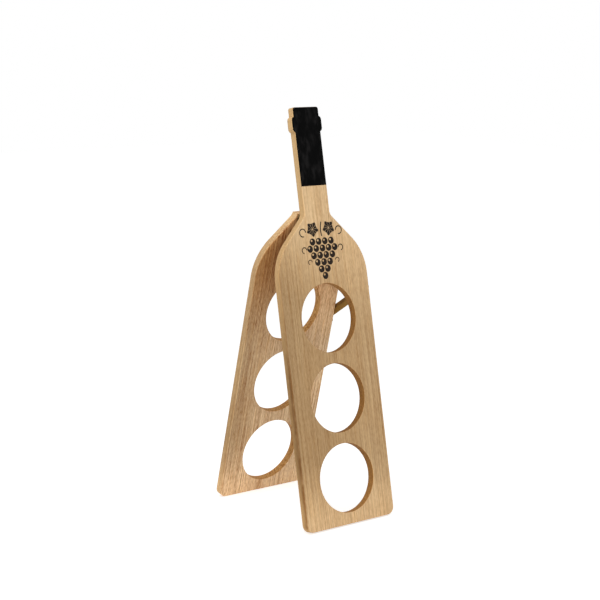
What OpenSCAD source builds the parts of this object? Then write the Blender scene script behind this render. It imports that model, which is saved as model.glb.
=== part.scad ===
// Folding wine bottle holder: two upright boards lean together and are hinged at the shoulder.
// The front board is a whole bottle silhouette, the rear board the same shape without its neck.
// A column of round holes through both boards carries bottles lying level, front to back.
// A hooked metal arm on the right-hand side keeps the boards from spreading.

/* [Boards] */
// Width of each board across the body
body_w = 140; // [120:1:170]
// Thickness of each board
board_t = 10; // [8:0.5:14]
// Height along the board at which the shoulders begin
body_h = 305; // [300:1:330]
// Radius of the lower corners
foot_r = 10; // [4:1:20]

/* [Bottle outline] */
// Radius of the round of each shoulder
shoulder_r = 65; // [45:1:90]
// Width of the bottle neck
neck_w = 40; // [40:1:52]
// Radius of the hollow where the shoulder runs into the neck
neck_fillet_r = 10; // [5:1:16]
// Length of the front board, foot to mouth
front_len = 515; // [470:1:560]
// Width of the collar below the mouth
collar_w = 46.5; // [42:0.5:60]
// Height of the collar
collar_h = 20; // [12:1:30]
// Length of neck above the collar
mouth_h = 11; // [6:1:20]
// Radius of the top corners of the mouth
mouth_r = 3; // [1:0.5:5]

/* [Bottle holes] */
// Diameter of each bottle hole
hole_d = 85; // [78:1:92]
// Height of the lowest hole's centre along the board
hole_first = 57; // [52:1:60]
// Distance from hole to hole along the board
hole_pitch = 99; // [95:1:101]

/* [Stance] */
// Lean of each board from upright when the stand is open
tilt = 12.5; // [9:0.5:16]

/* [Hinge] */
// Length of the hinge across the boards
leaf_w = 38; // [30:1:40]
// Width of each leaf, measured from the pin
leaf_h = 14; // [12:0.5:18]
// Thickness of each leaf
leaf_t = 1.2; // [0.8:0.1:1.6]
// Outer radius of the knuckles
knuckle_r = 2.2; // [2:0.1:3]
// Radius of the hinge pin
pin_r = 1.1; // [0.8:0.1:1.3]
// Spacing of the two screws in each leaf
leaf_screw_pitch = 24; // [18:1:24]
// Shank radius of the leaf screws
leaf_screw_r = 1.2; // [0.9:0.1:1.5]
// Length of the leaf screws in the wood
leaf_screw_len = 7; // [4:0.5:7.5]

/* [Stay] */
// Height of the arm's pivot along the front board
stay_front_v = 287; // [278:1:292]
// Distance of the arm's pivot from the front board's inner face
stay_front_w = 4.2; // [3.5:0.1:4.5]
// Height of the hook screw along the rear board
stay_rear_v = 232; // [222:1:240]
// Width of the arm
stay_w = 11; // [9:0.5:13]
// Radius of the arm's rounded end at the pivot
stay_eye_r = 4.2; // [4:0.1:5]
// Thickness of the arm
stay_t = 1; // [0.8:0.1:1.5]
// Width of the finger at the end of the arm, behind the hook screw
stay_finger = 6; // [5:0.5:9]
// Shank radius of the two stay screws
stay_screw_r = 2; // [1.6:0.1:2.2]
// Head radius of the hook screw
stay_head_r = 3.6; // [3:0.1:4.5]
// Head height of the hook screw
stay_head_h = 0.9; // [0.6:0.1:1.5]
// Length of the stay screws in the wood
stay_screw_len = 18; // [10:1:25]

/* [Hidden] */
$fn = 96;

hole_count = 3;
wood = [0.73, 0.60, 0.44];
bronze = [0.36, 0.28, 0.16];

// Clearances: a running fit on a pin, a seat under a head, the arm's two faces, and room between moving pieces
run_gap = 0.05;
seat_gap = 0.1;
side_gap = 0.2;
move_gap = 0.3;
// A cut reaches this far past the face it opens
past = 1;

// Outline: the shoulder is an arc that ends at 45 degrees and goes on as a straight slope
shoulder_x = body_w / 2 - shoulder_r;
shoulder_tip = [shoulder_x + shoulder_r * cos(45), body_h + shoulder_r * sin(45)];
neck_v = shoulder_tip.x + shoulder_tip.y - neck_w / 2;
fillet_c = [neck_w / 2 + neck_fillet_r, neck_v + neck_fillet_r * tan(22.5)];
collar_r = collar_h / 4;
collar_v = front_len - mouth_h - collar_h;

// The rear board is cut off just above the foot of the neck, level with the top of the knuckles
rear_len = neck_v + 3;
hinge_v = rear_len - knuckle_r;
hinge_w = knuckle_r + move_gap;
half_spread = hinge_v * sin(tilt) + hinge_w * cos(tilt);
hinge_z = hinge_v * cos(tilt) - hinge_w * sin(tilt);
knuckles = 5;
knuckle_len = (leaf_w - (knuckles - 1) * move_gap) / knuckles;
front_knuckles = [0, 2, 4];
rear_knuckles = [1, 3];
leaf_screw_v = hinge_v - (leaf_h + knuckle_r) / 2;
leaf_head_r = leaf_screw_r + leaf_t;

// The stay lies against the right-hand edges; the pivot keeps back from the front face, out of sight
stay_x = body_w / 2 + side_gap;
stay_front = [-half_spread + stay_front_v * sin(tilt) - stay_front_w * cos(tilt),
              stay_front_v * cos(tilt) + stay_front_w * sin(tilt)];
stay_rear_w = board_t / 2;
stay_rear = [half_spread - stay_rear_v * sin(tilt) + stay_rear_w * cos(tilt),
             stay_rear_v * cos(tilt) + stay_rear_w * sin(tilt)];
stay_span = norm(stay_rear - stay_front);
// The arm rests on the hook screw, with the screw under its lower edge and in front of its finger
notch_r = stay_screw_r + move_gap;
eye_taper = 1.5 * stay_w;
hook_drop = stay_w / 2 + notch_r;
hook_reach = sqrt(stay_span * stay_span - hook_drop * hook_drop);
stay_angle = atan2(stay_rear.y - stay_front.y, stay_rear.x - stay_front.x) + asin(hook_drop / stay_span);

// Board coordinates: x across, y up along the board, z out from the inner face
module on_front() {
    translate([0, -half_spread, 0]) rotate([90 - tilt, 0, 0]) children();
}

module on_rear() {
    mirror([0, 1, 0]) on_front() children();
}

module body_outline() {
    translate([-body_w / 2, foot_r]) square([body_w, body_h - foot_r]);
    translate([foot_r - body_w / 2, 0]) square([body_w - 2 * foot_r, 2 * foot_r]);
    for (side = [-1, 1]) {
        translate([side * (body_w / 2 - foot_r), foot_r]) circle(foot_r);
        mirror([side < 0 ? 1 : 0, 0]) {
            shoulder_round();
            neck_fillet();
        }
    }
    polygon([
        [-shoulder_tip.x, body_h], [shoulder_tip.x, body_h],
        shoulder_tip, [neck_w / 2, neck_v],
        [-neck_w / 2, neck_v], [-shoulder_tip.x, shoulder_tip.y]
    ]);
}

// The round of the right-hand shoulder, kept to its own half of the board
module shoulder_round() {
    intersection() {
        translate([shoulder_x, body_h]) circle(shoulder_r);
        square([body_w, body_h + 2 * shoulder_r]);
    }
}

module neck_fillet() {
    difference() {
        polygon([
            [neck_w / 2, fillet_c.y], [neck_w / 2, neck_v],
            fillet_c - neck_fillet_r * [cos(45), sin(45)], fillet_c
        ]);
        translate(fillet_c) circle(neck_fillet_r);
    }
}

module neck_outline(top_v) {
    translate([-neck_w / 2, shoulder_tip.y]) square([neck_w, top_v - shoulder_tip.y]);
}

module collar_outline() {
    translate([-collar_w / 2, collar_v + collar_r]) square([collar_w, collar_h - 2 * collar_r]);
    translate([collar_r - collar_w / 2, collar_v]) square([collar_w - 2 * collar_r, collar_h]);
    for (side = [-1, 1], end_v = [collar_v + collar_r, collar_v + collar_h - collar_r])
        translate([side * (collar_w / 2 - collar_r), end_v]) circle(collar_r);
}

module mouth_outline() {
    translate([mouth_r - neck_w / 2, collar_v]) square([neck_w - 2 * mouth_r, front_len - collar_v]);
    for (side = [-1, 1])
        translate([side * (neck_w / 2 - mouth_r), front_len - mouth_r]) circle(mouth_r);
}

module front_outline() {
    body_outline();
    neck_outline(front_len - mouth_r);
    collar_outline();
    mouth_outline();
}

module rear_outline() {
    intersection() {
        union() {
            body_outline();
            neck_outline(rear_len + neck_fillet_r);
        }
        translate([-body_w, -past]) square([2 * body_w, rear_len + past]);
    }
}

// A board of the given outline with its bottle holes and the holes for its screws
module board(stay_v, stay_out) {
    difference() {
        linear_extrude(board_t) children();
        for (i = [0 : hole_count - 1])
            translate([0, hole_first + i * hole_pitch, -past]) cylinder(d = hole_d, h = board_t + 2 * past);
        for (side = [-1, 1])
            translate([side * leaf_screw_pitch / 2, leaf_screw_v, -past])
                cylinder(r = leaf_screw_r + run_gap, h = leaf_screw_len + past + seat_gap);
        at_edge(stay_v, stay_out, -stay_screw_len - seat_gap)
            cylinder(r = stay_screw_r + run_gap, h = stay_screw_len + seat_gap + past);
    }
}

// Stands children on the right-hand edge, pointing out of it, a given depth from the edge
module at_edge(v, out, depth) {
    translate([body_w / 2 + depth, v, out]) rotate([0, 90, 0]) children();
}

module knuckle(index, r, extra = 0) {
    x = -leaf_w / 2 + index * (knuckle_len + move_gap) - extra;
    translate([x, hinge_v, -hinge_w]) rotate([0, 90, 0]) cylinder(r = r, h = knuckle_len + 2 * extra);
}

// One leaf against the inner face, with its own knuckles and gaps for those of the other leaf
module leaf(own, other) {
    difference() {
        union() {
            translate([-leaf_w / 2, hinge_v - leaf_h, -leaf_t]) cube([leaf_w, leaf_h, leaf_t]);
            for (i = own) knuckle(i, knuckle_r);
        }
        for (i = other)
            translate([-leaf_w / 2 + i * (knuckle_len + move_gap) - move_gap, hinge_v - hinge_w, -leaf_t - past])
                cube([knuckle_len + 2 * move_gap, hinge_w + past, leaf_t + 2 * past]);
        for (i = own) knuckle(i, pin_r + run_gap, past);
        for (side = [-1, 1])
            translate([side * leaf_screw_pitch / 2, leaf_screw_v, 0]) {
                translate([0, 0, -leaf_t - past]) cylinder(r = leaf_screw_r + run_gap, h = leaf_t + 2 * past);
                translate([0, 0, -leaf_t])
                    cylinder(r1 = leaf_head_r + run_gap, r2 = leaf_screw_r + run_gap, h = leaf_t);
            }
    }
}

// Countersunk screw with a straight slot, pointing into the board from the face of the leaf
module leaf_screw() {
    tip_h = 2 * leaf_screw_r;
    slot = [2 * leaf_head_r, 0.6, 0.5];
    difference() {
        union() {
            translate([0, 0, -leaf_t]) cylinder(r1 = leaf_head_r, r2 = leaf_screw_r, h = leaf_t);
            cylinder(r = leaf_screw_r, h = leaf_screw_len - tip_h);
            translate([0, 0, leaf_screw_len - tip_h]) cylinder(r1 = leaf_screw_r, r2 = 0.2, h = tip_h);
        }
        translate([-slot.x / 2, -slot.y / 2, -leaf_t - past]) cube([slot.x, slot.y, slot.z + past]);
    }
}

module leaf_screws() {
    for (side = [-1, 1])
        translate([side * leaf_screw_pitch / 2, leaf_screw_v, 0]) leaf_screw();
}

// Shank of a stay screw, up to a given height above the board's edge
module stay_shank(top) {
    tip_h = 2 * stay_screw_r;
    translate([0, 0, -stay_screw_len]) cylinder(r1 = 0.3, r2 = stay_screw_r, h = tip_h);
    translate([0, 0, tip_h - stay_screw_len]) cylinder(r = stay_screw_r, h = stay_screw_len - tip_h + top);
}

// Countersunk screw with a straight slot, flush with the outer face of the arm
module pivot_screw() {
    slot = [0.8, 2 * (stay_screw_r + stay_t), stay_t / 2];
    difference() {
        union() {
            stay_shank(side_gap);
            translate([0, 0, side_gap]) cylinder(r1 = stay_screw_r, r2 = stay_screw_r + stay_t, h = stay_t);
        }
        translate([-slot.x / 2, -slot.y / 2, side_gap + stay_t - slot.z]) cube([slot.x, slot.y, slot.z + past]);
    }
}

// Screw with a low domed head and a straight slot, which keeps the arm from sliding off its shank
module hook_screw() {
    seat = 2 * side_gap + stay_t;
    dome_r = (stay_head_r * stay_head_r + stay_head_h * stay_head_h) / (2 * stay_head_h);
    slot = [0.8, 2 * stay_head_r, stay_head_h / 2];
    difference() {
        union() {
            stay_shank(seat);
            translate([0, 0, seat]) intersection() {
                cylinder(r = stay_head_r, h = stay_head_h);
                translate([0, 0, stay_head_h - dome_r]) sphere(dome_r);
            }
        }
        translate([-slot.x / 2, -slot.y / 2, seat + stay_head_h - slot.z]) cube([slot.x, slot.y, slot.z + past]);
    }
}

// The arm lies along x and widens from the eye at its pivot; the finger points down behind the hook screw
module stay_outline() {
    wall = hook_reach + notch_r;
    tip = stay_finger / 2;
    finger_drop = hook_drop + notch_r;
    circle(stay_eye_r);
    polygon([[0, -stay_eye_r], [eye_taper, -stay_w / 2], [eye_taper, stay_w / 2], [0, stay_eye_r]]);
    translate([eye_taper, -stay_w / 2]) square([wall + tip - eye_taper, stay_w]);
    translate([wall, -finger_drop]) square([stay_finger, finger_drop + stay_w / 2 - tip]);
    for (end_y = [-finger_drop, stay_w / 2 - tip])
        translate([wall + tip, end_y]) circle(tip);
    difference() {
        translate([hook_reach, -hook_drop]) square([notch_r, notch_r]);
        translate([hook_reach, -hook_drop]) circle(notch_r);
    }
}

module stay_plate() {
    difference() {
        linear_extrude(stay_t) stay_outline();
        translate([0, 0, -past]) cylinder(r = stay_screw_r + run_gap, h = stay_t + 2 * past);
        cylinder(r1 = stay_screw_r + run_gap, r2 = stay_screw_r + stay_t + run_gap, h = stay_t);
    }
}

module front_board() {
    color(wood) on_front() board(stay_front_v, stay_front_w) front_outline();
}

module rear_board() {
    color(wood) on_rear() board(stay_rear_v, stay_rear_w) rear_outline();
}

module hinge_front_leaf() {
    color(bronze) on_front() leaf(front_knuckles, rear_knuckles);
}

module hinge_rear_leaf() {
    color(bronze) on_rear() leaf(rear_knuckles, front_knuckles);
}

module hinge_pin() {
    cap_h = 0.8;
    cap_r = pin_r + 0.6;
    color(bronze) translate([0, 0, hinge_z]) rotate([0, 90, 0]) {
        cylinder(r = pin_r, h = leaf_w + 2 * seat_gap + cap_h, center = true);
        for (side = [0, 1])
            mirror([0, 0, side]) translate([0, 0, leaf_w / 2 + seat_gap]) cylinder(r = cap_r, h = cap_h);
    }
}

module hinge_front_screws() {
    color(bronze) on_front() leaf_screws();
}

module hinge_rear_screws() {
    color(bronze) on_rear() leaf_screws();
}

module stay_arm() {
    color(bronze) translate([stay_x, stay_front.x, stay_front.y])
        rotate([90, 0, 90]) rotate([0, 0, stay_angle]) stay_plate();
}

module stay_pivot_screw() {
    color(bronze) on_front() at_edge(stay_front_v, stay_front_w, 0) pivot_screw();
}

module stay_hook_screw() {
    color(bronze) on_rear() at_edge(stay_rear_v, stay_rear_w, 0) hook_screw();
}

front_board();
rear_board();
hinge_front_leaf();
hinge_rear_leaf();
hinge_pin();
hinge_front_screws();
hinge_rear_screws();
stay_arm();
stay_pivot_screw();
stay_hook_screw();
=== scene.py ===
import math

import bmesh
import bpy
from mathutils import Matrix, Vector


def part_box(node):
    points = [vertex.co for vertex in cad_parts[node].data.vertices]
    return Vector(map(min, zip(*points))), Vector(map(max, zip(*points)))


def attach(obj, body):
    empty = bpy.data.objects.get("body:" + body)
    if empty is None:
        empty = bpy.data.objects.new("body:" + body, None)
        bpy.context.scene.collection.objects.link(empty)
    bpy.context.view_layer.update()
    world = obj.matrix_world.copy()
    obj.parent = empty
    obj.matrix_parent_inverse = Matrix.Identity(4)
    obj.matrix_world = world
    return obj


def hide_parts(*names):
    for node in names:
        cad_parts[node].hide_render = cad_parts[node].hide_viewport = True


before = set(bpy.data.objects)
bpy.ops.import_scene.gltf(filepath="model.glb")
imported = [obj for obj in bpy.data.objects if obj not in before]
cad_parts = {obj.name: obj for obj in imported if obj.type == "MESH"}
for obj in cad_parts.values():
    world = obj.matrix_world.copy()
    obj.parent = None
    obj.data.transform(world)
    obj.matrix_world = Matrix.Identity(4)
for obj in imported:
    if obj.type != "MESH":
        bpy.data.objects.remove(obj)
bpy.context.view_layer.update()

# Front board
# One plank of pale straight-grained wood, sawn to a bottle silhouette and bored for three bottles.
# Every arris is eased by sanding, and the front of the neck is painted matt black down to a masked line.
lean = math.radians(12.5)
board_half, board_thick = 0.070, 0.010
body_height, foot_round, shoulder_round = 0.305, 0.010, 0.065
neck_half, neck_fillet = 0.020, 0.010
collar_half, collar_round = 0.02325, 0.005
collar_low, collar_high = 0.484, 0.504
mouth_top, mouth_round = 0.515, 0.003
hole_round, hole_heights = 0.0425, (0.057, 0.156, 0.255)
paint_foot = 0.418
outer_arris, hole_arris, near_wall = 0.0013, 0.0007, 0.0001
foot_spread = -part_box("front_board")[0].y - board_thick * math.cos(lean)

# Board coordinates: x across, y up along the board, z out from its inner face
front_tip = math.pi / 2 - lean
front_stand = Matrix.Translation((0, -foot_spread, 0)) @ Matrix.Rotation(front_tip, 4, "X")

# The round of the shoulder ends in a slope of 45 degrees, and a fillet leads the slope into the neck
shoulder_centre = Vector((board_half - shoulder_round, body_height))
shoulder_tip = shoulder_centre + Vector((shoulder_round, shoulder_round)) * math.sqrt(0.5)
neck_foot = shoulder_tip.x + shoulder_tip.y - neck_half
fillet_centre = Vector((neck_half + neck_fillet, neck_foot + neck_fillet * math.tan(math.pi / 8)))
fillet_start = fillet_centre - Vector((neck_fillet, neck_fillet)) * math.sqrt(0.5)


def line_to(bm, pen, x, y):
    """A straight line from the pen to a new corner, which becomes the pen."""
    tip = bmesh.ops.extrude_vert_indiv(bm, verts=[pen])["verts"][0]
    tip.co = (x, y, 0)
    return tip


def arc_to(bm, pen, centre, turn, steps):
    """An arc from the pen about a centre, anticlockwise for a positive turn. Its end becomes the pen."""
    swept = bmesh.ops.spin(bm, geom=[pen], cent=(centre[0], centre[1], 0), axis=(0, 0, 1), dvec=(0, 0, 0),
                           angle=turn, steps=steps, use_merge=False, use_duplicate=False)
    return next(v for v in swept["geom_last"] if isinstance(v, bmesh.types.BMVert))


def draw_flank(bm):
    """From the middle of the foot round the right-hand side to where the slope meets the neck's fillet."""
    pen = bm.verts.new((0, 0, 0))
    pen = line_to(bm, pen, board_half - foot_round, 0)
    pen = arc_to(bm, pen, (board_half - foot_round, foot_round), math.pi / 2, steps=10)
    pen = line_to(bm, pen, board_half, body_height)
    pen = arc_to(bm, pen, shoulder_centre, math.pi / 4, steps=18)
    return line_to(bm, pen, *fillet_start)


def draw_neck(bm, pen):
    """The fillet, neck, collar and mouth, up to the middle of the top."""
    collar_centre = collar_half - collar_round
    bite = math.acos((neck_half - collar_centre) / collar_round)
    drop = collar_round - collar_round * math.sin(bite)
    pen = arc_to(bm, pen, fillet_centre, -math.pi / 4, steps=8)
    pen = line_to(bm, pen, neck_half, collar_low + drop)
    pen = arc_to(bm, pen, (collar_centre, collar_low + collar_round), bite, steps=8)
    pen = line_to(bm, pen, collar_half, collar_high - collar_round)
    pen = arc_to(bm, pen, (collar_centre, collar_high - collar_round), bite, steps=8)
    pen = line_to(bm, pen, neck_half, mouth_top - mouth_round)
    pen = arc_to(bm, pen, (neck_half - mouth_round, mouth_top - mouth_round), math.pi / 2, steps=6)
    return line_to(bm, pen, 0, mouth_top)


def in_hole(point, reach):
    """Whether a point of the board is within a bottle hole, or no further than the reach outside its wall."""
    return any(math.hypot(point.x, point.y - height) < hole_round + reach for height in hole_heights)


def thicken(bm, thick):
    """Raises flat faces into a solid."""
    raised = bmesh.ops.extrude_face_region(bm, geom=bm.faces[:])["geom"]
    corners = [v for v in raised if isinstance(v, bmesh.types.BMVert)]
    bmesh.ops.translate(bm, verts=corners, vec=(0, 0, thick))
    bmesh.ops.recalc_face_normals(bm, faces=bm.faces[:])


def finished_mesh(bm, name):
    """Turns a finished form into a mesh."""
    mesh = bpy.data.meshes.new(name)
    bm.to_mesh(mesh)
    bm.free()
    return mesh


def board_mesh(name, draw_top, stand, paint_line=None):
    """Half the outline and half of each hole are drawn, mirrored, thickened, eased and stood in place."""
    bm = bmesh.new()
    pen = draw_top(bm, draw_flank(bm))
    for height in reversed(hole_heights):
        pen = line_to(bm, pen, 0, height + hole_round)
        pen = arc_to(bm, pen, (0, height), -math.pi, steps=48)
    bm.verts.ensure_lookup_table()
    bm.edges.new((pen, bm.verts[0]))
    bmesh.ops.edgeloop_fill(bm, edges=bm.edges[:])
    bmesh.ops.mirror(bm, geom=bm.verts[:] + bm.edges[:] + bm.faces[:], matrix=Matrix.Identity(4),
                     merge_dist=1e-6, axis="X")
    thicken(bm, board_thick)
    if paint_line:
        bmesh.ops.bisect_plane(bm, geom=bm.verts[:] + bm.edges[:] + bm.faces[:], dist=1e-7,
                               plane_co=(0, paint_line, 0), plane_no=(0, 1, 0))

    # The arrises between a flat side and a wall are eased, less at the holes than round the outline
    rims = [e for e in bm.edges if sorted(abs(f.normal.z) > 0.9 for f in e.link_faces) == [False, True]]
    hole_rims = [e for e in rims if in_hole(e.verts[0].co, near_wall)]
    outer_rims = [e for e in rims if not in_hole(e.verts[0].co, near_wall)]
    for edges, ease in ((outer_rims, outer_arris), (hole_rims, hole_arris)):
        bmesh.ops.bevel(bm, geom=edges, offset=ease, offset_type="OFFSET", segments=3, profile=0.5,
                        affect="EDGES", material=-1, clamp_overlap=True)

    # Each face says how it was worked, for the wood to follow
    bored = bm.faces.layers.float.new("bored")
    sawn = bm.faces.layers.float.new("sawn")
    sanded = bm.faces.layers.float.new("sanded")
    for face in bm.faces:
        centre = face.calc_center_median()
        face.smooth = True
        face[bored] = float(abs(face.normal.z) < 0.9 and in_hole(centre, hole_arris))
        face[sawn] = float(abs(face.normal.z) < 0.5 and not in_hole(centre, hole_arris))
        face[sanded] = float(0.02 < abs(face.normal.z) < 0.98)
        face.material_index = int(bool(paint_line) and centre.y > paint_line and face.normal.z > 0.4)
    bmesh.ops.transform(bm, matrix=stand, verts=bm.verts[:])
    bmesh.ops.recalc_face_normals(bm, faces=bm.faces[:])
    return finished_mesh(bm, name)


def add_object(name, data):
    """Puts a mesh, a lamp or the camera in the scene."""
    added = bpy.data.objects.new(name, data)
    bpy.context.scene.collection.objects.link(added)
    return added


def add_piece(name, mesh, *finishes):
    """A piece with its finishes, shaded evenly over its flat faces and eased arrises."""
    for finish in finishes:
        mesh.materials.append(finish)
    piece = add_object(name, mesh)
    piece.modifiers.new("even shading", "WEIGHTED_NORMAL").keep_sharp = True
    return piece


def srgb(red, green, blue):
    """A colour as it shows on screen, 0 to 255, as the linear colour that a socket takes."""
    def linear(part):
        part /= 255
        return part / 12.92 if part <= 0.04045 else ((part + 0.055) / 1.055) ** 2.4
    return linear(red), linear(green), linear(blue), 1.0


def put(tree, kind, feeds=(), **settings):
    """Adds a node with its settings, and feeds each named socket with a value or another node's output."""
    node = tree.nodes.new(kind)
    for name, value in settings.items():
        setattr(node, name, value)
    for socket, value in dict(feeds).items():
        if isinstance(value, bpy.types.NodeSocket):
            tree.links.new(value, node.inputs[socket])
        else:
            node.inputs[socket].default_value = value
    return node


def calc(tree, operation, a, b=0.0):
    """Arithmetic on one or two values."""
    return put(tree, "ShaderNodeMath", {0: a, 1: b}, operation=operation).outputs[0]


def times(tree, product, *factors):
    """The product of all its values."""
    for factor in factors:
        product = calc(tree, "MULTIPLY", product, factor)
    return product


def add_up(tree, total, *weighed):
    """Adds marks to a value, each by its weight."""
    for mark, weight in weighed:
        total = calc(tree, "ADD", total, times(tree, mark, weight))
    return total


def vector(tree, operation, a, b=(0.0, 0.0, 0.0)):
    """Arithmetic on places, which gives a place, or a value for a length."""
    node = put(tree, "ShaderNodeVectorMath", {0: a, 1: b}, operation=operation)
    return node.outputs["Value" if operation == "LENGTH" else "Vector"]


def ramp(tree, value, low, high, to_low=0.0, to_high=1.0):
    """Runs smoothly from one level to another between a low and a high value."""
    feeds = {"Value": value, "From Min": low, "From Max": high, "To Min": to_low, "To Max": to_high}
    return put(tree, "ShaderNodeMapRange", feeds, interpolation_type="SMOOTHSTEP").outputs[0]


def blend(tree, share, a, b, how="MIX", held=True):
    """Mixes two colours by a share, held between 0 and 1 unless it may overshoot."""
    settings = {"data_type": "RGBA", "blend_type": how, "clamp_factor": held}
    return put(tree, "ShaderNodeMix", {0: share, 6: a, 7: b}, **settings).outputs[2]


def grain(tree, place, across, along, detail):
    """Noise drawn out along the board, with so many features to the metre across and along it."""
    drawn = vector(tree, "MULTIPLY", place, (across, along, across))
    feeds = {"Vector": drawn, "Scale": 1.0, "Detail": detail, "Roughness": 0.6}
    return put(tree, "ShaderNodeTexNoise", feeds).outputs[0]


def new_group(name, inputs):
    """A shader node group with named inputs, which puts out a colour, a roughness and a height."""
    group = bpy.data.node_groups.new(name, "ShaderNodeTree")
    for label, kind in inputs.items():
        group.interface.new_socket(label, in_out="INPUT", socket_type="NodeSocket" + kind)
    for label, kind in (("Color", "Color"), ("Roughness", "Float"), ("Height", "Float")):
        group.interface.new_socket(label, in_out="OUTPUT", socket_type="NodeSocket" + kind)
    return group, group.nodes.new("NodeGroupInput").outputs, group.nodes.new("NodeGroupOutput").inputs


# Solid wood: growth lines about the heart of the log, with threads, pores and flecks along the board.
# Painted shade darkens it in the middle of its length and to the left, and painted light makes it paler at
# the foot and on the sawn sides of the shoulder. Its crown is tinted, paler as painted light on the front
# board and darker as painted shade on the rear board's inner face. Bored walls are browner, partly as a
# darker cut surface and partly as painted shade, and a line of painted shade runs along the left-hand arris.
ring_pitch, fade_length = 0.0040, 0.14
warm_tint, cloud_tint = (1.0, 0.93, 0.82, 1.0), (1.0, 0.95, 0.88, 1.0)
# The middle's tint is painted shade, and the foot's tint is painted light
middle_shade_tint, foot_light_tint = (0.59, 0.555, 0.50, 1.0), (1.40, 1.38, 1.36, 1.0)
sawn_tint, sanded_tint = (0.98, 0.93, 0.82, 1.0), (1.07, 1.05, 1.02, 1.0)
# Painted shade along the left-hand front arris
arris_shade_tint = (0.46, 0.33, 0.19, 1.0)

# Where these run in or out, in metres: up the board, across it from its middle, or through its thickness
middle_shade_up, foot_light_up, lit_sides_up = (0.010, 0.095), (0.004, 0.050), 0.33
crown_shading_across, inner_through = (-0.055, 0.010), (-0.0009, -0.0002)
arris_shade_up, arris_shade_across, arris_shade_through = (0.170, 0.300), (-0.0697, -0.0680), (0.0015, 0.0105)

# What each board gives: its place and the heart of its log, its colours, and its levels and marks, painted
# light and shade among them
wood_colours = ("Pale", "Dark", "Crown Shading", "Bore Stain And Shade")
wood_levels = ("Lines", "Dashes", "Middle", "Middle Shade Top", "Right Edge", "Right", "Lit Sides", "Lit Sides Foot",
               "Crown Shading Foot", "Crown Grain", "Foot Light", "Arris Shade", "Bored", "Sawn", "Sanded")
wood_inputs = {"Place": "Vector", "Heart": "Vector"}
wood_inputs |= dict.fromkeys(wood_colours, "Color") | dict.fromkeys(wood_levels, "Float")
wood, wood_in, wood_out = new_group("solid wood", wood_inputs)
wood_place = wood_in["Place"]
wood_x, wood_y, wood_z = put(wood, "ShaderNodeSeparateXYZ", {0: wood_place}).outputs[:]

# Growth lines: the late wood of each ring, stronger in some years, broken along the board
wander = times(wood, grain(wood, wood_place, 14, 2.2, 2), 0.020)
from_heart = vector(wood, "SUBTRACT", wood_place, wood_in["Heart"])
radius = vector(wood, "LENGTH", vector(wood, "MULTIPLY", from_heart, (1, 0, 1)))
ring = calc(wood, "DIVIDE", calc(wood, "ADD", radius, wander), ring_pitch)
season, year = calc(wood, "FRACT", ring), calc(wood, "FLOOR", ring)
late = times(wood, ramp(wood, season, 0.62, 0.94), ramp(wood, season, 0.95, 1.0, 1.0, 0.0))
growth = put(wood, "ShaderNodeTexWhiteNoise", {"W": year}, noise_dimensions="1D").outputs["Value"]
broken = ramp(wood, grain(wood, wood_place, 110, 22, 3), 0.36, 0.60, 0.25, 1.0)
rings = times(wood, late, ramp(wood, growth, 0.1, 1.0), broken)

# Fibres and pores, bent sideways a little with the growth lines
sideways = put(wood, "ShaderNodeCombineXYZ", {"X": times(wood, wander, 0.4)}).outputs[0]
bent = vector(wood, "ADD", wood_place, sideways)
fibre = grain(wood, bent, 430, 16, 4)
streak = ramp(wood, grain(wood, bent, 210, 4, 4), 0.55, 0.74)
contour = calc(wood, "ABSOLUTE", calc(wood, "SUBTRACT", grain(wood, wood_place, 42, 0.9, 1), 0.5))
vein = times(wood, ramp(wood, contour, 0.002, 0.016, 1.0, 0.0), broken)
dash = ramp(wood, grain(wood, bent, 380, 48, 3), 0.48, 0.72)
fleck = ramp(wood, grain(wood, bent, 820, 170, 3), 0.34, 0.70, -0.5, 0.5)
pores = ramp(wood, grain(wood, bent, 2200, 130, 2), 0.58, 0.70)
hair = ramp(wood, grain(wood, bent, 1700, 26, 3), 0.32, 0.68, -0.5, 0.5)
thread = ramp(wood, grain(wood, bent, 640, 4, 2), 0.34, 0.66, -0.5, 0.5)
bundle = ramp(wood, grain(wood, wood_place, 60, 5, 2), 0.36, 0.64, 0.35, 1.20)
lines = add_up(wood, times(wood, thread, bundle), (rings, 0.55), (streak, 0.10), (vein, 0.45), (hair, 0.45))
specks = add_up(wood, times(wood, dash, 0.34), (fleck, 0.60), (pores, 0.40))
dark_share = add_up(wood, times(wood, lines, wood_in["Lines"]), (specks, wood_in["Dashes"]))

# The crown takes a tint of painted light on the front board and painted shade on the rear board's inner face,
# and its own strength of grain; less to the right and not on the rear board's back
inner = ramp(wood, wood_z, *inner_through)
crown_shading_full = calc(wood, "ADD", wood_in["Crown Shading Foot"], fade_length)
crown_shading = times(wood, ramp(wood, wood_y, wood_in["Crown Shading Foot"], crown_shading_full), inner,
              ramp(wood, wood_x, *crown_shading_across, 1.0, 0.6))
dark_share = times(wood, dark_share, ramp(wood, crown_shading, 0.0, 1.0, 1.0, wood_in["Crown Grain"]),
                   ramp(wood, wood_in["Sawn"], 0.0, 1.0, 1.0, 0.6))

# Painted shade in the middle fades along a slant and towards the right, and stays off the shoulder's sawn
# sides, which painted light keeps paler
slant = calc(wood, "ADD", wood_y, times(wood, wood_x, 0.50))
middle_shade_gone = calc(wood, "ADD", wood_in["Middle Shade Top"], fade_length)
# Painted light: above a height, the sawn sides are kept out of the painted shade
lit_sides = times(wood, wood_in["Sawn"], ramp(wood, wood_y, wood_in["Lit Sides Foot"], lit_sides_up), wood_in["Lit Sides"])
middle_shade = times(wood, ramp(wood, wood_y, *middle_shade_up),
               ramp(wood, slant, wood_in["Middle Shade Top"], middle_shade_gone, 1.0, 0.0),
               ramp(wood, wood_x, -board_half, wood_in["Right Edge"], 1.0, wood_in["Right"]),
               calc(wood, "SUBTRACT", 1.0, lit_sides), wood_in["Middle"])
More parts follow.
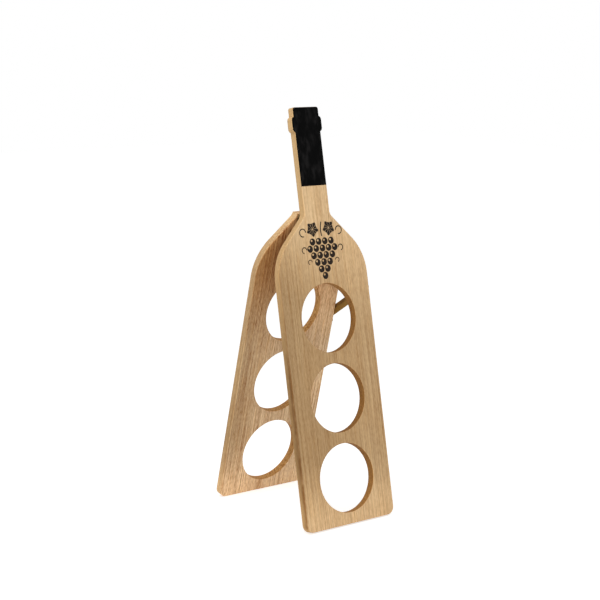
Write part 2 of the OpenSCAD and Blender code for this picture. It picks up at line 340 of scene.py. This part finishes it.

# The painted light at the foot, the painted shade along the left-hand arris, and soft patches of warmer wood
foot_light = times(wood, ramp(wood, wood_y, *foot_light_up, 1.0, 0.0), wood_in["Foot Light"])
patchy = ramp(wood, grain(wood, wood_place, 160, 60, 3), 0.30, 0.62, 0.45, 1.0)
arris_shade = times(wood, ramp(wood, wood_x, *arris_shade_across, 1.0, 0.0), ramp(wood, wood_z, *arris_shade_through),
                  ramp(wood, wood_y, *arris_shade_up, 1.0, 0.2), patchy, wood_in["Arris Shade"])
warm = times(wood, ramp(wood, grain(wood, wood_place, 260, 20, 3), 0.48, 0.72), wood_in["Dashes"])
cloud = ramp(wood, grain(wood, wood_place, 16, 6, 2), 0.35, 0.70, 0.0, 0.6)

# Pale wood with its dark grain, tinted where it changes and by its painted light and shade, browner on bored
# walls as a cut surface and painted shade, and a surface that dips at pores and growth lines
wood_colour = blend(wood, dark_share, wood_in["Pale"], wood_in["Dark"], held=False)
for share, tint in ((warm, warm_tint), (cloud, cloud_tint), (middle_shade, middle_shade_tint),
                    (wood_in["Sawn"], sawn_tint), (foot_light, foot_light_tint), (crown_shading, wood_in["Crown Shading"]),
                    (wood_in["Bored"], wood_in["Bore Stain And Shade"]), (arris_shade, arris_shade_tint),
                    (wood_in["Sanded"], sanded_tint)):
    wood_colour = blend(wood, share, wood_colour, tint, "MULTIPLY")
dips = add_up(wood, times(wood, pores, 0.7), (rings, 0.3))
wood.links.new(wood_colour, wood_out["Color"])
wood.links.new(ramp(wood, fibre, 0.2, 0.8, 0.58, 0.78), wood_out["Roughness"])
wood.links.new(calc(wood, "SUBTRACT", fibre, dips), wood_out["Height"])


def bare_nodes(owner):
    """The emptied node tree of a new material or of the world."""
    owner.use_nodes = True
    owner.node_tree.nodes.clear()
    return owner.node_tree


def new_finish(name, gloss=0.5):
    """A new material with a shader of an even gloss and nothing else yet."""
    finish = bpy.data.materials.new(name)
    tree = bare_nodes(finish)
    shader = put(tree, "ShaderNodeBsdfPrincipled", {"Specular IOR Level": gloss})
    put(tree, "ShaderNodeOutputMaterial", {"Surface": shader.outputs[0]})
    return finish, tree, shader


def feed(tree, shader, colour, roughness, height, depth, strength):
    """Feeds a finish's shader, with the height as a bump of a depth in metres."""
    bump = put(tree, "ShaderNodeBump", {"Height": height, "Distance": depth, "Strength": strength}).outputs[0]
    for socket, value in (("Base Color", colour), ("Roughness", roughness), ("Normal", bump)):
        tree.links.new(value, shader.inputs[socket])


def board_place(tree, spread, tip):
    """Object coordinates laid along a board: x across, y up along it, z through its thickness."""
    objects = put(tree, "ShaderNodeTexCoord").outputs["Object"]
    turned = {"Vector": objects, "Location": (0, spread, 0), "Rotation": (tip, 0, 0)}
    return put(tree, "ShaderNodeMapping", turned, vector_type="TEXTURE").outputs[0]


def wood_finish(name, spread, tip, looks):
    """Solid wood laid along a board, with the marks that say how each face was worked."""
    finish, tree, shader = new_finish(name, gloss=0.15)
    feeds = {"Place": board_place(tree, spread, tip)}
    for label in ("Bored", "Sawn", "Sanded"):
        feeds[label] = put(tree, "ShaderNodeAttribute", attribute_name=label.lower()).outputs["Fac"]
    cut = put(tree, "ShaderNodeGroup", looks | feeds, node_tree=wood)
    feed(tree, shader, *cut.outputs, depth=0.0004, strength=0.35)
    return finish


# The middle, right, sides, crown, foot, bore and arris values set the board's painted light and shade
front_wood = wood_finish("front board wood", -foot_spread, front_tip, {
    "Heart": (-0.085, 0, -0.060), "Pale": srgb(210, 176, 132), "Dark": srgb(152, 109, 64),
    "Lines": 0.52, "Dashes": 0.60,
    "Middle": 0.95, "Middle Shade Top": 0.243, "Right Edge": 0.060, "Right": 0.66,
    "Lit Sides": 0.95, "Lit Sides Foot": 0.16,
    "Crown Shading": (1.02, 1.08, 1.15, 1.0), "Crown Shading Foot": 0.31, "Crown Grain": 0.65,
    "Foot Light": 0.10, "Bore Stain And Shade": (0.60, 0.43, 0.22, 1.0), "Arris Shade": 1.0})

# Matt black neck paint, thin enough for the grain to show as a faint mottle
paint_black, paint_thin = srgb(6, 6, 6), srgb(28, 27, 27)
neck_paint, paint_nodes, paint_shader = new_finish("neck paint", gloss=0.02)
paint_place = board_place(paint_nodes, -foot_spread, front_tip)
mottle = ramp(paint_nodes, grain(paint_nodes, paint_place, 160, 60, 3), 0.45, 0.75)
paint_colour = blend(paint_nodes, mottle, paint_black, paint_thin)
paint_rough = ramp(paint_nodes, mottle, 0.0, 1.0, 0.62, 0.80)
brushed = grain(paint_nodes, paint_place, 700, 60, 3)
feed(paint_nodes, paint_shader, paint_colour, paint_rough, brushed, depth=0.0002, strength=0.3)

front_board = add_piece("bottle_board", board_mesh("bottle_board", draw_neck, front_stand, paint_foot),
                        front_wood, neck_paint)
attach(front_board, "front_frame")
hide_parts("front_board")

# Printed ornament
# A bunch of grapes with two vine leaves and tendrils, stamped in dark ink on the bare wood of the shoulder.
# It is modelled as a skin of ink a few hundredths of a millimetre thick.
print_centre = Vector((0.002, 0.345))
ink_skin, ink_sunk = 0.00004, 0.00002
grape_rows, grape_top = (4, 5, 4, 3, 2, 1), 0.0045
grape_round, grape_pitch = 0.0044, 0.0098
row_pitch = grape_pitch * 0.866
glint_round, glint_left, glint_up = 0.0013, 0.0013, 0.0014
leaf_out, leaf_up, leaf_size, leaf_droop = 0.0128, 0.0200, 0.0104, math.radians(24)
leaf_lobes, leaf_notch, lobe_round, vein_gap = 5, 0.66, 0.16, 0.00013
stem_round, stem_up, stem_width = 0.0300, 0.0180, 0.0016
stem_start, stem_sweep = math.radians(160), math.radians(34)

# Each tendril: the place of its centre, its round, its width, its sweep in degrees and its steps
tendrils = ((0.0284, 0.0165, 0.0048, 0.0013, 285, 28),
            (0.0286, -0.0050, 0.0036, 0.0012, 260, 24),
            (0.0215, -0.0200, 0.0028, 0.0011, 250, 20))


def circle(bm, x, y, round_size):
    """The edges of a circle."""
    verts = bmesh.ops.create_circle(bm, cap_ends=False, radius=round_size, segments=28,
                                    matrix=Matrix.Translation((x, y, 0)))["verts"]
    return list(dict.fromkeys(e for v in verts for e in v.link_edges))


def band(bm, centre, round_size, width, start, sweep, steps):
    """A flat arc of ink: one short edge spun about a centre."""
    spoke = Vector((math.cos(start), math.sin(start)))
    reaches = (round_size - width / 2, round_size + width / 2)
    ends = [bm.verts.new((*(centre + spoke * reach), 0)) for reach in reaches]
    edge = bm.edges.new(ends)
    bmesh.ops.spin(bm, geom=ends + [edge], cent=(*centre, 0), axis=(0, 0, 1), dvec=(0, 0, 0), angle=sweep,
                   steps=steps, use_merge=False, use_duplicate=False)


def vine_leaf(bm, x, y, size, turn):
    """A five-lobed leaf, cut apart along its veins by narrow bare lines."""
    stand = Matrix.Translation((x, y, 0)) @ Matrix.Rotation(turn, 4, "Z")
    rim = bmesh.ops.create_circle(bm, cap_ends=True, radius=size, segments=2 * leaf_lobes,
                                  matrix=Matrix.Identity(4))["verts"]
    for k, vert in enumerate(rim):
        vert.co *= leaf_notch if k % 2 else 1.0
    before = set(bm.verts) - set(rim)
    bmesh.ops.bevel(bm, geom=rim, offset=size * lobe_round, offset_type="OFFSET", segments=3, profile=0.5,
                    affect="VERTICES", material=-1, clamp_overlap=True)
    faces = [f for f in bm.faces if before.isdisjoint(f.verts)]
    for k in range(leaf_lobes):
        vein_turn = k * math.pi / leaf_lobes
        across = Vector((-math.sin(vein_turn), math.cos(vein_turn), 0))
        verts = list(dict.fromkeys(v for f in faces for v in f.verts))
        edges = list(dict.fromkeys(e for f in faces for e in f.edges))
        bmesh.ops.bisect_plane(bm, geom=verts + edges + faces, dist=1e-7, plane_co=(0, 0, 0), plane_no=across)
        faces = [f for f in bm.faces if before.isdisjoint(f.verts)]
    bare = bmesh.ops.inset_individual(bm, faces=faces, thickness=vein_gap, use_even_offset=True)["faces"]
    bmesh.ops.delete(bm, geom=bare, context="FACES")
    bmesh.ops.transform(bm, verts=[v for v in bm.verts if v not in before], matrix=stand)


print_form = bmesh.new()
for side in (-1, 1):
    vine_leaf(print_form, side * leaf_out, leaf_up, leaf_size, math.pi / 2 - side * leaf_droop)
for row, count in enumerate(grape_rows):
    for k in range(count):
        x, y = (k - (count - 1) / 2) * grape_pitch, grape_top - row * row_pitch
        rim = circle(print_form, x, y, grape_round)
        glint = circle(print_form, x - glint_left, y + glint_up, glint_round)
        bmesh.ops.bridge_loops(print_form, edges=rim + glint)
for side in (-1, 1):
    start = math.pi / 2 - side * math.pi / 2 + math.pi
    for out, rise, round_size, width, sweep, steps in tendrils:
        centre = Vector((side * out, rise))
        band(print_form, centre, round_size, width, start, side * math.radians(-sweep), steps)
stem_centre = Vector((stem_round, stem_up))
band(print_form, stem_centre, stem_round, stem_width, stem_start, stem_sweep, steps=14)
print_place = Matrix.Translation((*print_centre, board_thick - ink_sunk))
bmesh.ops.transform(print_form, verts=print_form.verts[:], matrix=print_place)
bmesh.ops.recalc_face_normals(print_form, faces=print_form.faces[:])
thicken(print_form, ink_skin + ink_sunk)
bmesh.ops.transform(print_form, verts=print_form.verts[:], matrix=front_stand)

# Ink that the pores have drunk in, so that it is thinner in streaks
ink_full, ink_thin = srgb(27, 19, 12), srgb(62, 46, 31)
ink, ink_nodes, ink_shader = new_finish("stamped ink", gloss=0.15)
ink_place = board_place(ink_nodes, -foot_spread, front_tip)
thin = ramp(ink_nodes, grain(ink_nodes, ink_place, 900, 30, 3), 0.50, 0.80)
ink_colour = blend(ink_nodes, thin, ink_full, ink_thin)
ink_rough = ramp(ink_nodes, thin, 0.0, 1.0, 0.6, 0.75)
feed(ink_nodes, ink_shader, ink_colour, ink_rough, thin, depth=0.0001, strength=0.2)
ornament = add_piece("shoulder_print", finished_mesh(print_form, "shoulder_print"), ink)
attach(ornament, "front_frame")

# Rear board
# The same plank and the same outline as the front board, cut off square just above the foot of the neck.
# It leans towards the front board, hinged to it at the shoulder, and is eased in the same way, with no paint.
rear_rise = 0.003
rear_top = neck_foot + rear_rise
rear_stand = Matrix.Scale(-1, 4, (0, 1, 0)) @ front_stand


def draw_square_top(bm, pen):
    """What is left of the fillet, and the saw cut to the middle."""
    cut_angle = math.asin((fillet_centre.y - rear_top) / neck_fillet)
    pen = arc_to(bm, pen, fillet_centre, cut_angle - math.pi / 4, steps=8)
    return line_to(bm, pen, 0, rear_top)


# The rear board's pale colour is lighter than the front board's, as painted light that offsets the shade
# between the boards
rear_wood = wood_finish("rear board wood", foot_spread, math.pi / 2 + lean, {
    "Heart": (0.150, 0, 0.030), "Pale": srgb(231, 198, 157), "Dark": srgb(168, 112, 62),
    "Lines": 0.84, "Dashes": 0.95,
    "Middle": 0.94, "Middle Shade Top": 0.6, "Right Edge": -0.005, "Right": 0.10,
    "Lit Sides": 0.34, "Lit Sides Foot": -0.15,
    "Crown Shading": (0.82, 0.61, 0.40, 1.0), "Crown Shading Foot": 0.19, "Crown Grain": 1.35,
    "Foot Light": 0.38, "Bore Stain And Shade": (0.68, 0.51, 0.29, 1.0), "Arris Shade": 0.0})
rear_board = add_piece("rear_plank", board_mesh("rear_plank", draw_square_top, rear_stand), rear_wood)
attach(rear_board, "rear_frame")
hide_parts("rear_board")

# Hinge
# A small butt hinge of dark bronzed brass: two leaves with interlocking knuckles on a capped pin.
# Two countersunk screws hold each leaf against the inner face of its board.
hinge_nodes = ("hinge_front_leaf", "hinge_rear_leaf", "hinge_pin", "hinge_front_screws", "hinge_rear_screws")

# Bronzed brass: a mottled brown patina with dark specks; where a piece says so it is paler, as painted light
# and on eased arrises, and darker as painted shade
bronze_pale, bronze_brown, bronze_paler = srgb(146, 116, 64), srgb(104, 82, 46), srgb(166, 136, 72)
bronze_speck, bronze_painted_shade = srgb(58, 44, 28), srgb(30, 20, 10)
patina_inputs = {"Place": "Vector", "Paler": "Float", "Painted Shade": "Float"}
patina, patina_in, patina_out = new_group("bronze patina", patina_inputs)
tone = ramp(patina, grain(patina, patina_in["Place"], 140, 140, 4), 0.35, 0.70)
speck = ramp(patina, grain(patina, patina_in["Place"], 900, 900, 2), 0.55, 0.75)
patina_colour = blend(patina, tone, bronze_pale, bronze_brown)
for share, colour in ((times(patina, patina_in["Paler"], 0.9), bronze_paler),
                      (times(patina, speck, 0.5), bronze_speck), (patina_in["Painted Shade"], bronze_painted_shade)):
    patina_colour = blend(patina, share, patina_colour, colour)
patina.links.new(patina_colour, patina_out["Color"])
patina.links.new(ramp(patina, tone, 0.0, 1.0, 0.38, 0.58), patina_out["Roughness"])
patina.links.new(speck, patina_out["Height"])


def bronze_finish(name):
    """Bronzed brass, with its nodes for a piece to add paler arrises, painted light and painted shade."""
    finish, tree, shader = new_finish(name)
    shader.inputs["Metallic"].default_value = 0.6
    place = put(tree, "ShaderNodeTexCoord").outputs["Object"]
    coat = put(tree, "ShaderNodeGroup", {"Place": place}, node_tree=patina)
    feed(tree, shader, *coat.outputs, depth=0.0001, strength=0.25)
    return finish, tree, coat, place


def refinish(node, finish):
    """Gives a CAD node, whose shape is right, a better material."""
    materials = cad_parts[node].data.materials
    materials.clear()
    materials.append(finish)


bronze = bronze_finish("dark bronze")[0]
for node in hinge_nodes:
    refinish(node, bronze)

# Stay
# A flat bar of the same bronzed metal, pivoted on a countersunk screw in the front board's edge.
# Its bent finger drops behind a domed screw in the rear board's edge and keeps the boards from spreading.
stay_arris = 0.00035
stay_eye, stay_droop = (0, -0.02726, 0.28111), math.radians(-33.3)
# Where the painted light of the lower half fades out, and where the painted shade at the hooked end runs in,
# in metres
lit_half_fade, shade_above, shade_along = (-0.0005, 0.0025), (0.0, 0.0025), (0.063, 0.069)
for node in ("stay_pivot_screw", "stay_hook_screw"):
    refinish(node, bronze)
stay_form = bmesh.new()
stay_form.from_mesh(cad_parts["stay_arm"].data)
bmesh.ops.remove_doubles(stay_form, verts=stay_form.verts[:], dist=1e-6)
bmesh.ops.dissolve_limit(stay_form, angle_limit=math.radians(1), verts=stay_form.verts[:],
                         edges=stay_form.edges[:])
sharp = [e for e in stay_form.edges if e.calc_face_angle(0) > math.radians(50)
         and any(abs(f.normal.x) > 0.9 for f in e.link_faces)]
bmesh.ops.bevel(stay_form, geom=sharp, offset=stay_arris, offset_type="OFFSET", segments=2, profile=0.5,
                affect="EDGES", material=-1, clamp_overlap=True)
eased = stay_form.faces.layers.float.new("sanded")
for face in stay_form.faces:
    face.smooth = True
    face[eased] = float(0.02 < abs(face.normal.x) < 0.98)

# Painted light makes the lower half of the bar paler, its eased arrises are paler too, and painted shade
# darkens the upper edge at its hooked end
stay_bronze, stay_nodes, stay_coat, stay_place = bronze_finish("stay bronze with painted light and shade")
laid = {"Vector": stay_place, "Location": stay_eye, "Rotation": (stay_droop, 0, 0)}
along_bar = put(stay_nodes, "ShaderNodeMapping", laid, vector_type="TEXTURE").outputs[0]
stay_y, stay_z = put(stay_nodes, "ShaderNodeSeparateXYZ", {0: along_bar}).outputs[1:]
eased_faces = put(stay_nodes, "ShaderNodeAttribute", attribute_name="sanded").outputs["Fac"]
lower_half = ramp(stay_nodes, stay_z, *lit_half_fade, 1.0, 0.0)
lit_half_and_arrises = calc(stay_nodes, "MAXIMUM", lower_half, times(stay_nodes, eased_faces, 0.5))
hooked_end_shade = times(stay_nodes, ramp(stay_nodes, stay_y, *shade_along), ramp(stay_nodes, stay_z, *shade_above))
stay_nodes.links.new(lit_half_and_arrises, stay_coat.inputs["Paler"])
stay_nodes.links.new(times(stay_nodes, hooked_end_shade, 0.75), stay_coat.inputs["Painted Shade"])
stay_bar = add_piece("stay_bar", finished_mesh(stay_form, "stay_bar"), stay_bronze)
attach(stay_bar, "stay")
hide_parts("stay_arm")

# Floor
# A flat sheet of white studio paper that the stand is set on, wide enough for a view from any side.
# It shows white to the camera and keeps the soft shadow round the feet.
floor_half = 4.0
paper_white, white_lift = (0.92, 0.92, 0.92, 1.0), 0.56


def seen_directly(tree):
    """One for a ray that shows the background, straight or in metal or glass, and nought for any other."""
    rays = put(tree, "ShaderNodeLightPath").outputs
    in_metal_or_glass = calc(tree, "MAXIMUM", rays["Is Glossy Ray"], rays["Is Transmission Ray"])
    return calc(tree, "MAXIMUM", rays["Is Camera Ray"], in_metal_or_glass)


floor_form = bmesh.new()
bmesh.ops.create_grid(floor_form, x_segments=1, y_segments=1, size=floor_half)
floor = add_object("floor", finished_mesh(floor_form, "floor"))
floor_paper = bpy.data.materials.new("white paper")
paper_nodes = bare_nodes(floor_paper)
paper = put(paper_nodes, "ShaderNodeBsdfDiffuse", {"Color": paper_white}).outputs[0]
lift_level = times(paper_nodes, seen_directly(paper_nodes), white_lift)
lift = put(paper_nodes, "ShaderNodeEmission", {"Color": (1, 1, 1, 1), "Strength": lift_level}).outputs[0]
lifted = put(paper_nodes, "ShaderNodeAddShader", {0: paper, 1: lift}).outputs[0]
put(paper_nodes, "ShaderNodeOutputMaterial", {"Surface": lifted})
floor.data.materials.append(floor_paper)

# Light
# Even white studio light from all round, with three soft round lamps: a weak one high at front right,
# a strong one low at front left, and a small one almost overhead on the left.
fill_level = 0.50
studio = bpy.data.worlds.new("studio")
bpy.context.scene.world = studio
sky_nodes = bare_nodes(studio)
sky_feeds = {"Value": seen_directly(sky_nodes), "To Min": fill_level, "To Max": 1.0}
sky_level = put(sky_nodes, "ShaderNodeMapRange", sky_feeds).outputs[0]
sky = put(sky_nodes, "ShaderNodeBackground", {"Color": (1, 1, 1, 1), "Strength": sky_level}).outputs[0]
put(sky_nodes, "ShaderNodeOutputWorld", {"Surface": sky})

for name, size, power, stand, target in (
        ("upper lamp", 0.60, 1.0, (0.35, -0.75, 0.95), (0, 0, 0.40)),
        ("front lamp", 0.90, 8.6, (-0.75, -1.20, 0.20), (0, 0, 0.12)),
        ("left lamp", 0.30, 2.3, (-0.28, -0.08, 1.05), (0, 0, 0.40))):
    lamp = bpy.data.lights.new(name, "AREA")
    lamp.shape, lamp.size, lamp.energy = "DISK", size, power
    lamp_stand = add_object(name, lamp)
    lamp_stand.location = stand
    lamp_stand.rotation_euler = (Vector(target) - Vector(stand)).to_track_quat("-Z", "Y").to_euler()

# Camera
# A long lens at front left, a little above the top of the board, for a square picture of 600 by 600.
# It looks down on the stand and is tilted slightly to one side.
camera_stand = (-1.24720, -1.50754, 0.64393)
yaw, pitch, roll = 0.68552, -0.19060, 0.02484
camera = bpy.data.cameras.new("camera")
camera.sensor_width, camera.lens = 36.0, 96.036
ahead = Vector((math.sin(yaw) * math.cos(pitch), math.cos(yaw) * math.cos(pitch), math.sin(pitch)))
level_right = Vector((math.cos(yaw), -math.sin(yaw), 0))
level_up = level_right.cross(ahead)
right = level_right * math.cos(roll) + level_up * math.sin(roll)
up = level_up * math.cos(roll) - level_right * math.sin(roll)
aim = Matrix((right, up, -ahead)).transposed().to_4x4()
camera_place = add_object("camera", camera)
camera_place.matrix_world = Matrix.Translation(camera_stand) @ aim
bpy.context.scene.camera = camera_place
bpy.context.scene.view_settings.view_transform = "Standard"
